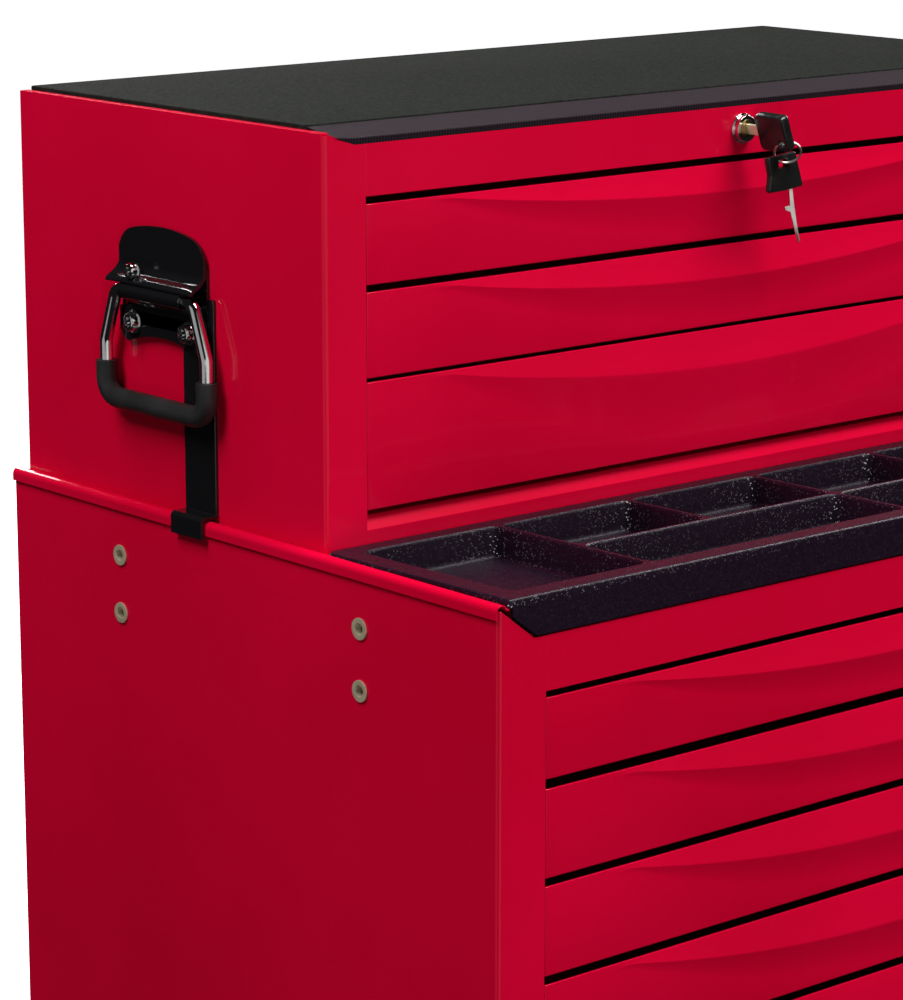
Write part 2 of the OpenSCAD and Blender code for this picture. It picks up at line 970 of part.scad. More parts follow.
module castor_plate() {
    difference() {
        slab([-52, -42, castor_h - 3], [52, 42, castor_h]);
        for (s = [-1, 1], t = [-1, 1])
            translate([s * 40, t * 30, castor_h - 4])
                cylinder(h = 5, r = 4.2);
    }
}

// top plate, upper ball race and kingpin of each swivel castor
module swivel_plates() {
    color(STEEL)
        for (s = [-1, 1])
            translate([castor_x, castor_mid + s * castor_y, 0]) {
                castor_plate();
                translate([0, 0, castor_h - 10])
                    cylinder(h = 7, r = 24);
                translate([0, 0, castor_h - 17])
                    cylinder(h = 10, r = 5);
                translate([0, 0, castor_h - 20])
                    cylinder(h = 3.2, r = 8);
            }
}

// side of a fork leg, from its crown down to the axle at dx
module leg_side(dx, brake) {
    crown = castor_h - 11;
    pin = [dx, wheel_r] + brake_reach * [cos(brake_angle), sin(brake_angle)];
    difference() {
        union() {
            polygon([
                [-26, crown], [26, crown], [26, crown - 12],
                [dx + 12, wheel_r - 4], [dx - 12, wheel_r - 4], [-26, crown - 12]
            ]);
            translate([dx, wheel_r])
                circle(14);
            if (brake)
                polygon([
                    [-20, crown - 1], pin + [-4, 9], pin + [-9, 1], pin + [-6, -8],
                    pin + [6, -9], [dx - 4, wheel_r + 8], [-10, crown - 30]
                ]);
        }
        translate([dx, wheel_r])
            circle(axle_r + fit);
        if (brake)
            translate(pin)
                circle(3 + fit);
    }
}

module fork_legs(dx, brake) {
    for (y = [leg_y + leg_t, -leg_y])
        translate([0, y, 0])
            rotate([90, 0, 0])
                linear_extrude(leg_t)
                    leg_side(dx, brake);
}

module swivel_fork() {
    color(STEEL)
        translate([castor_x, 0, 0])
            difference() {
                union() {
                    fork_legs(-trail, true);
                    slab([-26, -leg_y - leg_t, castor_h - 16],
                         [26, leg_y + leg_t, castor_h - 10.4]);
                }
                translate([0, 0, castor_h - 18])
                    cylinder(h = 9, r = 5 + fit);
            }
}

module swivel_fork_front() {
    translate([0, castor_mid - castor_y, 0])
        swivel_fork();
}

module swivel_fork_rear() {
    translate([0, castor_mid + castor_y, 0])
        swivel_fork();
}

module fixed_forks() {
    color(STEEL)
        for (s = [-1, 1])
            translate([fixed_x, castor_mid + s * castor_y, 0]) {
                castor_plate();
                slab([-26, -leg_y - leg_t, castor_h - 15], [26, leg_y + leg_t, castor_h - 3]);
                fork_legs(0, false);
            }
}

// an axle bolt with its head and nut outside the legs
module axle(x) {
    out = leg_y + leg_t;
    color(STEEL)
        translate([x, 0, wheel_r]) {
            bar_y(-out - 6, out + 6, 0, 0, axle_r);
            for (y = [-out - 0.2, out + 5.2])
                translate([0, y, 0])
                    rotate([90, 0, 0])
                        cylinder(h = 5, r = 10, $fn = 6);
        }
}

module swivel_axle_front() {
    translate([0, castor_mid - castor_y, 0])
        axle(castor_x - trail);
}

module swivel_axle_rear() {
    translate([0, castor_mid + castor_y, 0])
        axle(castor_x - trail);
}

module fixed_axles() {
    for (s = [-1, 1])
        translate([0, castor_mid + s * castor_y, 0])
            axle(fixed_x);
}

// a rubber tyre on a moulded hub
module wheel(x) {
    half = wheel_w / 2;
    rim = wheel_r - 17;
    color(GREY)
        translate([x, 0, wheel_r])
            rotate([90, 0, 0]) {
                difference() {
                    union() {
                        translate([0, 0, -half + 1])
                            cylinder(h = 2 * half - 2, r = rim);
                        translate([0, 0, -leg_y + 1])
                            cylinder(h = 2 * leg_y - 2, r = 13);
                    }
                    translate([0, 0, -leg_y])
                        cylinder(h = 2 * leg_y, r = axle_r + fit);
                    for (s = [-1, 1])
                        translate([0, 0, s * (half - 5) - 5])
                            difference() {
                                cylinder(h = 10, r = rim - 6);
                                translate([0, 0, -1])
                                    cylinder(h = 12, r = 18);
                            }
                }
                rotate_extrude($fn = 96)
                    polygon(concat(
                        [[rim + 0.02, half - 2], [rim + 0.02, -half + 2]],
                        arc([wheel_r - 6, -half + 6], 6, -90, 0, 5),
                        arc([wheel_r - 6, half - 6], 6, 0, 90, 5)
                    ));
            }
}

module wheel_front_right() {
    translate([0, castor_mid - castor_y, 0])
        wheel(castor_x - trail);
}

module wheel_rear_right() {
    translate([0, castor_mid + castor_y, 0])
        wheel(castor_x - trail);
}

module wheel_front_left() {
    translate([0, castor_mid - castor_y, 0])
        wheel(fixed_x);
}

module wheel_rear_left() {
    translate([0, castor_mid + castor_y, 0])
        wheel(fixed_x);
}

// a foot lever on a pin between the fork legs, with a shoe that faces the tyre
module brake() {
    color(BLACK)
        translate([castor_x - trail, 0, wheel_r])
            rotate([0, -brake_angle, 0])
                translate([brake_reach, 0, 0]) {
                    bar_y(-leg_y - leg_t - 1, leg_y + leg_t + 1, 0, 0, 3);
                    slab([-5.5, -14, -6], [5, 14, 8]);
                    rotate([0, 25, 0])
                        slab([0, -17, 2], [5, 17, 40]);
                }
}

module brake_front() {
    translate([0, castor_mid - castor_y, 0])
        brake();
}

module brake_rear() {
    translate([0, castor_mid + castor_y, 0])
        brake();
}

module castor_bolts() {
    color(STEEL)
        castor_bolt_places() {
            translate([0, 0, -5])
                cylinder(h = 9, r = 4);
            translate([0, 0, -8])
                cylinder(h = 5, r = 7, $fn = 6);
            translate([0, 0, 1.5])
                cylinder(h = 5, r = 7, $fn = 6);
        }
}

// ---------------------------------------------------------------- drawing

chest_left_side();
chest_right_side();
chest_back_panel();
chest_floor();
chest_top();
top_mat();
chest_fixed_runners();
lock_housing();
handle_plates();
handle_bolts();
hook_brackets();
lock_cylinder();
lock_cam();
key();
bail_left();
grip_left();
bail_right();
grip_right();
chest_drawer(0);  // chest_drawer_1
chest_drawer(1);  // chest_drawer_2
chest_drawer(2);  // chest_drawer_3
chest_runners(0);  // chest_runners_1
chest_runners(1);  // chest_runners_2
chest_runners(2);  // chest_runners_3
cabinet_left_side();
cabinet_right_side();
cabinet_back_panel();
cabinet_floor();
cabinet_top();
cabinet_fixed_runners();
side_inserts();
cabinet_lock_housing();
cabinet_lock_cylinder();
tool_tray();
cabinet_drawer(0);  // cabinet_drawer_1
cabinet_drawer(1);  // cabinet_drawer_2
cabinet_drawer(2);  // cabinet_drawer_3
cabinet_drawer(3);  // cabinet_drawer_4
cabinet_drawer(4);  // cabinet_drawer_5
cabinet_drawer(5);  // cabinet_drawer_6
cabinet_runners(0);  // cabinet_runners_1
cabinet_runners(1);  // cabinet_runners_2
cabinet_runners(2);  // cabinet_runners_3
cabinet_runners(3);  // cabinet_runners_4
cabinet_runners(4);  // cabinet_runners_5
cabinet_runners(5);  // cabinet_runners_6
swivel_plates();
fixed_forks();
fixed_axles();
castor_bolts();
swivel_fork_front();
swivel_fork_rear();
swivel_axle_front();
swivel_axle_rear();
wheel_front_right();
wheel_rear_right();
wheel_front_left();
wheel_rear_left();
brake_front();
brake_rear();
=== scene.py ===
import json
import math

import bmesh
import bpy
from mathutils import Matrix, Vector


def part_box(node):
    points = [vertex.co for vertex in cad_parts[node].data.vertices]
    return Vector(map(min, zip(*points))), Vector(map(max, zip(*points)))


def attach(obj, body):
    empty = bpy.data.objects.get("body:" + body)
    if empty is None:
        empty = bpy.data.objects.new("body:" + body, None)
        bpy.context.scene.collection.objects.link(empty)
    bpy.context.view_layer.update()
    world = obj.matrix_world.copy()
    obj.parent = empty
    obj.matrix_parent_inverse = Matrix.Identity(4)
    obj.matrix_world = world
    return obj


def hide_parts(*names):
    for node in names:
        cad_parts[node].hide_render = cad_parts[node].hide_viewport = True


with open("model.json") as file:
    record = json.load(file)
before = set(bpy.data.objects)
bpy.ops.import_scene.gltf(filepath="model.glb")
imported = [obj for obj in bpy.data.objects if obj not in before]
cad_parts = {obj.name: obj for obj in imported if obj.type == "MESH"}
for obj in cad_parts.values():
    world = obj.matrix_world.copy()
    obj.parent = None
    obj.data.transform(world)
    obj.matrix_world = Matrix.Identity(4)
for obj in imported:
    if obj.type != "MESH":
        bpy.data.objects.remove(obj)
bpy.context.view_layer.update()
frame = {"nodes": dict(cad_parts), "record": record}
MM = 0.001
SHADER = "Principled BSDF"
MAT_RIBS = 150.0


# ------------------------------------------------------------------ node helpers

def new_material(name, colour, rough, metal=0.0, specular=0.5, coat=0.0, coat_rough=0.05):
    """A principled material whose uniform values sit on the shader's own sockets."""
    mat = bpy.data.materials.new(name)
    mat.use_nodes = True
    shader = mat.node_tree.nodes[SHADER]
    shader.inputs["Base Color"].default_value = (*colour, 1)
    shader.inputs["Roughness"].default_value = rough
    shader.inputs["Metallic"].default_value = metal
    shader.inputs["Specular IOR Level"].default_value = specular
    shader.inputs["Coat Weight"].default_value = coat
    shader.inputs["Coat Roughness"].default_value = coat_rough
    return mat


def add(mat, kind, **values):
    """A node of that kind with its inputs or properties set."""
    node = mat.node_tree.nodes.new(kind)
    for key, value in values.items():
        if key in node.inputs:
            node.inputs[key].default_value = value
        else:
            setattr(node, key, value)
    return node


def link(mat, a, out, b, into):
    """Wires an output of one node of a material to an input of another."""
    mat.node_tree.links.new(a.outputs[out], b.inputs[into])


def shader_of(mat):
    """A material's principled shader."""
    return mat.node_tree.nodes[SHADER]


def noise(mat, scale, detail=3.0, stretch=None):
    """A noise texture in object coordinates, in cycles a metre."""
    coord = add(mat, "ShaderNodeTexCoord")
    mapping = add(mat, "ShaderNodeMapping")
    if stretch:
        mapping.inputs["Scale"].default_value = stretch
    tex = add(mat, "ShaderNodeTexNoise", Scale=scale, Detail=detail)
    link(mat, coord, "Object", mapping, "Vector")
    link(mat, mapping, "Vector", tex, "Vector")
    return tex


def ramp(mat, source, out, stops):
    """A colour ramp of (position, colour) stops driven by an output."""
    node = add(mat, "ShaderNodeValToRGB")
    bar = node.color_ramp
    while len(bar.elements) < len(stops):
        bar.elements.new(0.5)
    for element, (place, colour) in zip(bar.elements, stops):
        element.position = place
        element.color = (*colour, 1)
    link(mat, source, out, node, "Fac")
    return node


def tint(mat, scale, dark, light, low=0.35, high=0.65, stretch=None):
    """Base colour that wanders between two colours."""
    r = ramp(mat, noise(mat, scale, 4, stretch), "Fac", [(low, dark), (high, light)])
    link(mat, r, "Color", shader_of(mat), "Base Color")


def vary_rough(mat, scale, low, high, stretch=None):
    """Roughness that wanders between two values."""
    tex = noise(mat, scale, 4, stretch)
    span = add(mat, "ShaderNodeMapRange")
    span.inputs["From Min"].default_value = 0.3
    span.inputs["From Max"].default_value = 0.7
    span.inputs["To Min"].default_value = low
    span.inputs["To Max"].default_value = high
    link(mat, tex, "Fac", span, "Value")
    link(mat, span, "Result", shader_of(mat), "Roughness")


def bump(mat, source, out, strength, distance, under=None):
    """A bump from an output, on top of another bump if one is given."""
    node = add(mat, "ShaderNodeBump", Strength=strength, Distance=distance)
    link(mat, source, out, node, "Height")
    if under:
        link(mat, under, "Normal", node, "Normal")
    link(mat, node, "Normal", shader_of(mat), "Normal")
    return node


# ------------------------------------------------------------------ materials

def red_paint():
    """Glossy crimson powder coat with a faint orange peel."""
    mat = new_material("crimson_powder_coat", (0.60, 0.001, 0.022), 0.26, specular=0.05,
                       coat=0.45, coat_rough=0.03)
    tint(mat, 6, (0.57, 0.0006, 0.025), (0.63, 0.001, 0.031))
    vary_rough(mat, 14, 0.25, 0.28)
    peel = bump(mat, noise(mat, 420, 2), "Fac", 0.035, 0.001)
    bump(mat, noise(mat, 25, 1), "Fac", 0.01, 0.002, peel)
    return mat


def mat_rubber():
    """Dark rubber with a fine leathery grain."""
    mat = new_material("grained_mat_rubber", (0.01, 0.011, 0.01), 0.8, specular=0.02)
    tint(mat, 420, (0.006, 0.007, 0.0055), (0.016, 0.017, 0.015))
    bump(mat, noise(mat, 900, 3), "Fac", 0.6, 0.0006)
    return mat


def ribbed_rubber():
    """The mat's front bevel: a dark purplish skin with fine upright ribs."""
    mat = new_material("ribbed_mat_edge", (0.02, 0.013, 0.02), 0.7, specular=0.06)
    coord = add(mat, "ShaderNodeTexCoord")
    ribs = add(mat, "ShaderNodeTexWave", Scale=MAT_RIBS, Distortion=1.2, Detail=2.0)
    ribs.bands_direction = "X"
    link(mat, coord, "Object", ribs, "Vector")
    # painted shade: the base colour follows the ribs, darker in their valleys and lighter on their
    # ridges
    painted_rib_shade = ramp(mat, ribs, "Fac", [(0.2, (0.006, 0.003, 0.005)), (0.8, (0.021, 0.013, 0.018))])
    link(mat, painted_rib_shade, "Color", shader_of(mat), "Base Color")
    grain = bump(mat, noise(mat, 900, 3), "Fac", 0.5, 0.0006)
    bump(mat, ribs, "Fac", 0.4, 0.0004, grain)
    return mat


def tray_plastic():
    """Purplish black moulded plastic with a coarse grain, and painted glints: single grain cells get a
    pale base colour on faces turned between x and y, as at upright corners.
    """
    mat = new_material("moulded_tray_plastic", (0.010, 0.004, 0.011), 0.35, specular=0.25)
    coord = add(mat, "ShaderNodeTexCoord")
    cells = add(mat, "ShaderNodeTexVoronoi", Scale=1400.0)
    link(mat, coord, "Object", cells, "Vector")
    coarse = bump(mat, cells, "Distance", 0.5, 0.0003)
    bump(mat, noise(mat, 2600, 2), "Fac", 0.3, 0.0002, coarse)
    vary_rough(mat, 300, 0.3, 0.45)
    # painted glints: a few grain cells are chosen, and only where the face turns diagonally between x
    # and y
    facets = add(mat, "ShaderNodeSeparateColor")
    link(mat, cells, "Color", facets, "Color")
    chosen = ramp(mat, facets, "Red", [(0.93, (0, 0, 0)), (0.95, (1, 1, 1))])
    shape = add(mat, "ShaderNodeNewGeometry")
    sides = add(mat, "ShaderNodeSeparateXYZ")
    link(mat, shape, "Normal", sides, "Vector")
    corner = add(mat, "ShaderNodeMath", operation="MULTIPLY")
    link(mat, sides, "X", corner, 0)
    link(mat, sides, "Y", corner, 1)
    size = add(mat, "ShaderNodeMath", operation="ABSOLUTE")
    link(mat, corner, "Value", size, 0)
    upright = ramp(mat, size, "Value", [(0.0, (0.02, 0.02, 0.02)), (0.42, (1, 1, 1))])
    painted_glint_mask = add(mat, "ShaderNodeMath", operation="MULTIPLY")
    link(mat, chosen, "Color", painted_glint_mask, 0)
    link(mat, upright, "Color", painted_glint_mask, 1)
    # painted highlight: the chosen cells get a pale grey base colour instead of the dark plastic
    painted_glint = ramp(mat, painted_glint_mask, "Value", [(0.0, (0.009, 0.0035, 0.010)), (1.0, (0.5, 0.47, 0.5))])
    link(mat, painted_glint, "Color", shader_of(mat), "Base Color")
    return mat


def black_gloss():
    """Wet-looking black paint on pressed steel."""
    mat = new_material("gloss_black_paint", (0.006, 0.006, 0.007), 0.08, specular=0.5,
                       coat=0.5, coat_rough=0.02)
    vary_rough(mat, 40, 0.06, 0.12)
    bump(mat, noise(mat, 90, 2), "Fac", 0.04, 0.0008)
    return mat


def metal(name, colour, low, high, scale=80, stretch=None, strength=0.05, share=1.0):
    """A metal with wandering roughness and fine marks; share is how metallic it is."""
    mat = new_material(name, colour, low, metal=share)
    vary_rough(mat, scale, low, high, stretch)
    bump(mat, noise(mat, scale * 6, 3, stretch), "Fac", strength, 0.0003)
    dark = tuple(0.8 * c for c in colour)
    tint(mat, scale / 3, dark, colour, 0.3, 0.6)
    return mat


def soft_black(name, value, rough, grain, strength):
    """A dark moulded rubber or plastic with a fine skin texture."""
    mat = new_material(name, (value, value, value * 1.05), rough, specular=0.4)
    tint(mat, 50, (value * 0.7,) * 3, (value * 1.3,) * 3)
    bump(mat, noise(mat, grain, 3), "Fac", strength, 0.0005)
    vary_rough(mat, 60, rough - 0.08, rough + 0.08)
    return mat


MATS = {
    "red_paint": red_paint(),
    "mat_rubber": mat_rubber(),
    "tray_plastic": tray_plastic(),
    "black_paint": black_gloss(),
    "chrome": metal("bright_chrome", (0.9, 0.9, 0.9), 0.04, 0.10),
    "brass": metal("plug_brass", (0.62, 0.48, 0.24), 0.2, 0.34, 200),
    "zinc_steel": metal("zinc_plate", (0.52, 0.53, 0.54), 0.28, 0.45, 60, (1, 0.15, 1)),
    "nickel": metal("insert_nickel", (0.8, 0.7, 0.48), 0.3, 0.42, 260, share=0.6),
    "key_plastic": soft_black("key_head_plastic", 0.010, 0.22, 300, 0.06),
    "grip_rubber": soft_black("grip_rubber_skin", 0.018, 0.48, 900, 0.35),
    "wheel_rubber": soft_black("tyre_rubber", 0.03, 0.6, 500, 0.4),
    "brake_plastic": soft_black("brake_lever_plastic", 0.012, 0.4, 600, 0.2),
    "mat_edge": ribbed_rubber(),
    "key_steel": metal("key_steel", (0.9, 0.87, 0.8), 0.3, 0.4, 200),
    "hub_plastic": soft_black("hub_nylon", 0.09, 0.42, 500, 0.15),
}


# ------------------------------------------------------------------ mesh helpers

def make_object(name, bm, mat, smooth=40):
    """An object from a bmesh, smooth below an angle between faces."""
    bmesh.ops.recalc_face_normals(bm, faces=bm.faces)
    mesh = bpy.data.meshes.new(name)
    bm.to_mesh(mesh)
    bm.free()
    mesh.polygons.foreach_set("use_smooth", [True] * len(mesh.polygons))
    mesh.set_sharp_from_angle(angle=math.radians(smooth))
    obj = bpy.data.objects.new(name, mesh)
    obj.data.materials.append(mat)
    bpy.context.scene.collection.objects.link(obj)
    return obj


def loft(bm, rings, caps=True):
    """Joins closed rings of points with quads."""
    rows = [[bm.verts.new(p) for p in ring] for ring in rings]
    n = len(rows[0])
    for a, b in zip(rows, rows[1:]):
        for i in range(n):
            bm.faces.new((a[i], a[(i + 1) % n], b[(i + 1) % n], b[i]))
    if caps:
        bm.faces.new(rows[0])
        bm.faces.new(rows[-1])


def round_rect(x0, x1, y0, y1, radii, z, steps=5):
    """A rectangle's points with a radius for each corner, from the front left one on."""
    corners = [(x0, y0, 1, 1, 180), (x1, y0, -1, 1, 270), (x1, y1, -1, -1, 0), (x0, y1, 1, -1, 90)]
    points = []
    for (x, y, sx, sy, start), r in zip(corners, radii):
        for i in range(steps + 1):
            a = math.radians(start + 90 * i / steps)
            points.append((x + sx * r + r * math.cos(a), y + sy * r + r * math.sin(a), z))
    return points


def rounded_path(corners, radii, steps=6):
    """Points along straight runs whose inner corners are rounded to the given radii."""
    corners = [Vector(c) for c in corners]
    points = [corners[0]]
    for a, b, c, r in zip(corners, corners[1:], corners[2:], radii):
        into, out = (b - a).normalized(), (c - b).normalized()
        half = into.angle(out) / 2
        reach = r * math.tan(half)
        centre = b + (out - into).normalized() * (r / math.cos(half))
        start, end = b - into * reach - centre, b + out * reach - centre
        for i in range(steps + 1):
            points.append(centre + start.slerp(end, i / steps).normalized() * r)
    return points + [corners[-1]]


def rounded_outline(corners, r):
    """A closed polygon of (a, b) corners with each corner rounded, as (a, b) pairs."""
    flat = [Vector((a, b, 0)) for a, b in corners]
    ring = [(flat[-1] + flat[0]) / 2] + flat + [(flat[-1] + flat[0]) / 2]
    return [(p.x, p.y) for p in rounded_path(ring, [r] * len(flat))[:-1]]


def plate(bm, outline, axis, lo, hi, soft):
    """A plate with softened edges: an outline spread over the other two axes."""
    def put(p, depth):
        point = list(p)
        point.insert(axis, depth)
        return point
    middle = [sum(c) / len(outline) for c in zip(*outline)]
    rings = []
    for depth, shrink in ((lo, 1), (lo + soft * 0.3, 0.4), (lo + soft, 0),
                          (hi - soft, 0), (hi - soft * 0.3, 0.4), (hi, 1)):
        ring = []
        for p in outline:
            off = [m - v for m, v in zip(middle, p)]
            size = math.hypot(*off)
            ring.append(put([v + o / size * soft * shrink for v, o in zip(p, off)], depth))
        rings.append(ring)
    loft(bm, rings)


def cut_with(obj, bm):
    """Cuts the form in a bmesh out of an object."""
    tool = make_object("cutter", bm, obj.data.materials[0])
    cut = obj.modifiers.new("cut", "BOOLEAN")
    cut.operation, cut.solver, cut.object = "DIFFERENCE", "EXACT", tool
    bpy.context.view_layer.update()
    shape = obj.evaluated_get(bpy.context.evaluated_depsgraph_get())
    mesh = bpy.data.meshes.new_from_object(shape)
    obj.modifiers.clear()
    obj.data = mesh
    bpy.data.objects.remove(tool)
    mesh.polygons.foreach_set("use_smooth", [True] * len(mesh.polygons))
    mesh.set_sharp_from_angle(angle=math.radians(35))


def dress(obj, slot, body, *nodes):
    """Attaches a piece to its body and hides the CAD nodes that it stands in for; the slot is not
    used.
    """
    if nodes:
        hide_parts(*nodes)
    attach(obj, body)


def tube(bm, path, radius, sides):
    """A round tube along a path of points, capped at both ends."""
    path = [Vector(p) for p in path]
    count = len(path)
    rings = []
    normal = None
    for i, p in enumerate(path):
        before = path[i - 1] if i else p
        after = path[i + 1] if i < count - 1 else p
        along = (after - before).normalized()
        if normal is None:
            normal = along.orthogonal().normalized()
        normal = (normal - along * normal.dot(along)).normalized()
        side = along.cross(normal)
        rings.append([
            p + radius * (math.cos(a) * normal + math.sin(a) * side)
            for a in (2 * math.pi * k / sides for k in range(sides))
        ])
    loft(bm, rings)


def finish_cad(obj, mat, width):
    """Gives a CAD node its material and softens its edges, leaving its mesh alone."""
    obj.data.materials.clear()
    obj.data.materials.append(mat)
    soften(obj, width)


def soften(obj, width):
    """Small rounded edges by modifiers, with even shading on the flats."""
    weld = obj.modifiers.new("weld", "WELD")
    weld.merge_threshold = 0.00002
    soft = obj.modifiers.new("edges", "BEVEL")
    soft.width = width
    soft.segments = 2
    soft.limit_method = "ANGLE"
    soft.angle_limit = math.radians(38)
    soft.harden_normals = True
    even = obj.modifiers.new("normals", "WEIGHTED_NORMAL")
    even.keep_sharp = True


# ------------------------------------------------------------------ drawers

CREASE_HALF = 250 * MM
BULGE = 3.45 * MM
FOLD = 0.6 * MM
FRONT_T = 11 * MM
# how far the front's inner flange reaches down behind its top edge
SHELF_DROP = 8 * MM
# in millimetres: how far below its top edge each crease lies at its deepest, and how far
# below that it takes to fade out
CHEST_CREASES = [(17, 26), (20, 26), (23, 42)]
CABINET_CREASES = [(21, 22), (25, 24), (26, 24), (26, 24), (36, 60), (40, 80)]
CHEST_PAN_HALF = 286.5
CABINET_PAN_HALF = 290.7


def swell(x):
    """How strongly the crease shows at x."""
    return max(0.0, 1 - (x / CREASE_HALF) ** 2)


def front_section(x, y, z0, z1, dip, fade, turn):
    """One closed section of a drawer front; turn is how far the side fold has gone."""
    s = swell(x)
    drop = dip * max(s, 0.12)
    fall = fade * max(s, 0.12)
    back = FOLD * (1 - math.cos(turn))
    shrink = FOLD * (1 - math.cos(turn)) * 0.5
    z0, z1 = z0 + shrink, z1 - shrink
    shelf = z1 - SHELF_DROP
    points = [(shelf, y + FRONT_T), (shelf, y + back + 2 * FOLD), (z1 - FOLD, y + back + 2 * FOLD)]
    for i in range(-3, 5):
        a = math.radians(90 - 22.5 * i)
        points.append((z1 - FOLD + FOLD * math.sin(a), y + back + FOLD * (1 - math.cos(a))))
    for t, h in ((0.3, 0.24), (0.6, 0.55), (0.85, 0.83), (0.96, 0.96), (1.0, 1.0)):
        points.append((z1 - FOLD - (drop - FOLD) * t, y + back - BULGE * s * h))
    for t, h in ((0.03, 0.97), (0.10, 0.86), (0.25, 0.66), (0.45, 0.41), (0.7, 0.17), (1.0, 0.0)):
        points.append((z1 - drop - fall * t, y + back - BULGE * s * h))
    for i in range(5):
        a = math.radians(22.5 * i)
        points.append((z0 + FOLD - FOLD * math.sin(a), y + back + FOLD * (1 - math.cos(a))))
    points.append((z0, y + FRONT_T))
    return points


def drawer_front(bm, node, y, dip, fade):
    """The folded and creased front skin of a drawer, its flat face at y."""
    lo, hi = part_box(node)
    half, z0, z1 = hi.x, lo.z, hi.z
    columns = [(-half + FOLD - FOLD * math.sin(math.radians(a)), math.radians(a))
               for a in (90, 67.5, 45, 22.5)]
    inner = half - FOLD
    columns += [(-inner + 2 * inner * i / 84, 0.0) for i in range(85)]
    columns += [(-x, a) for x, a in reversed(columns[:4])]
    rings = [[(x, py, pz) for pz, py in front_section(x, y, z0, z1, dip, fade, a)]
             for x, a in columns]
    loft(bm, rings)


def drawer_box(bm, node, y, pan_half):
    """The open box behind a drawer front, with a hemmed top edge."""
    lo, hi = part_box(node)
    y0, y1 = y + FRONT_T - 0.5 * MM, hi.y
    z0, z1 = lo.z + 3 * MM, hi.z - 6 * MM
    t, r = 1 * MM, 4 * MM
    steps = [(0, z0 + 2 * MM), (0, z1 - 0.5 * MM), (0.5 * MM, z1), (t, z1 - 0.4 * MM),
             (1.8 * MM, z1 - 1.2 * MM), (1.8 * MM, z1 - 5 * MM), (t, z1 - 5.6 * MM),
             (t, z0 + 4 * MM), (2.2 * MM, z0 + t + 0.6 * MM), (5 * MM, z0 + t)]
    rings = [round_rect(-pan_half + 2 * MM, pan_half - 2 * MM, y0 + 2 * MM, y1 - 2 * MM,
                        (r,) * 4, z0)]
    for inset, z in steps:
        rings.append(round_rect(-pan_half + inset, pan_half - inset, y0 + inset, y1 - inset,
                                (r,) * 4, z))
    loft(bm, rings)


def make_drawer(node, pan_half, dip, fade):
    """One drawer: its front skin and the box behind it, on the body of the same name."""
    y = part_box(node.split("_")[0] + "_left_side")[0].y
    bm = bmesh.new()
    drawer_front(bm, node, y, dip * MM, fade * MM)
    drawer_box(bm, node, y, pan_half * MM)
    obj = make_object(node + "_pressed", bm, MATS["red_paint"], 35)
    dress(obj, "red_paint", node, node)


def make_drawers():
    """All nine drawers, from the top of each body down."""
    for i, (dip, fade) in enumerate(CHEST_CREASES, 1):
        make_drawer(f"chest_drawer_{i}", CHEST_PAN_HALF, dip, fade)
    for i, (dip, fade) in enumerate(CABINET_CREASES, 1):
        make_drawer(f"cabinet_drawer_{i}", CABINET_PAN_HALF, dip, fade)


# ------------------------------------------------------------------ tool tray

RIM = 1.6 * MM
REAR_SINK = 2.4 * MM
CELL_DEPTH = 21 * MM
CELL_WALLS = [-213, -107, 0, 107, 213]


def tray_body(lo, hi):
    """Rim and tub outside as one closed form with rounded edges."""
    x, front, back = hi.x, lo.y, hi.y
    low, rim_low, top = lo.z, hi.z - 5 * MM, hi.z
    tub_x, tub_front, tub_back = x - 13.5 * MM, front + 13 * MM, back - 11.8 * MM
    corners = (3 * MM, 3 * MM, 6 * MM, 6 * MM)
    rings = [round_rect(-tub_x + 3 * MM, tub_x - 3 * MM, tub_front + 3 * MM, tub_back - 3 * MM,
                        (5 * MM,) * 4, low)]
    rings += [round_rect(-tub_x, tub_x, tub_front, tub_back, (5 * MM,) * 4, z)
              for z in (low + 3 * MM, rim_low)]
    rings += [round_rect(-x, x, front, back, corners, z) for z in (rim_low, top - RIM)]
    for i in range(1, 5):
        a = math.radians(22.5 * i)
        inset = RIM * (1 - math.cos(a))
        z = top - RIM + RIM * math.sin(a)
        rings.append(round_rect(-x + inset, x - inset, front + inset, back - inset, corners, z))
    bm = bmesh.new()
    loft(bm, rings)
    return make_object("tray_shell", bm, MATS["tray_plastic"], 50)


def tray_pocket(x0, x1, y0, y1, low, top):
    """The drafted and rounded space of one cell."""
    foot = [(5, 0), (3.2, 0.5), (2.2, 1.6), (1.8, 3.5)]
    mouth = [(0.6, -2.0), (0.3, -1.0), (-0.2, -0.35), (-0.9, 0.3)]
    steps = [(inset, low + z * MM) for inset, z in foot]
    steps += [(inset, top + z * MM) for inset, z in mouth]
    rings = []
    for inset, z in steps:
        d = inset * MM
        r = max(6.5 * MM - d, 1.5 * MM)
        rings.append(round_rect(x0 + d, x1 - d, y0 + d, y1 - d, (r,) * 4, z))
    bm = bmesh.new()
    loft(bm, rings)
    return bm


def tray_cells(lo, hi):
    """(x0, x1, y0, y1) of each cell's mouth."""
    front, back = lo.y + 15 * MM, hi.y - 13.8 * MM
    row = back + 0.3 * MM - 71.5 * MM
    end, edge, gap = CELL_WALLS[-1] * MM, hi.x - 15.5 * MM, 1.4 * MM
    cells = [(-edge, -end - gap, front, back), (end + gap, edge, front, back)]
    for a, b in zip(CELL_WALLS, CELL_WALLS[1:]):
        cells.append((a * MM + gap, b * MM - gap, row + gap, back))
    cells += [(-end + gap, -gap, front, row - gap), (gap, end - gap, front, row - gap)]
    return cells


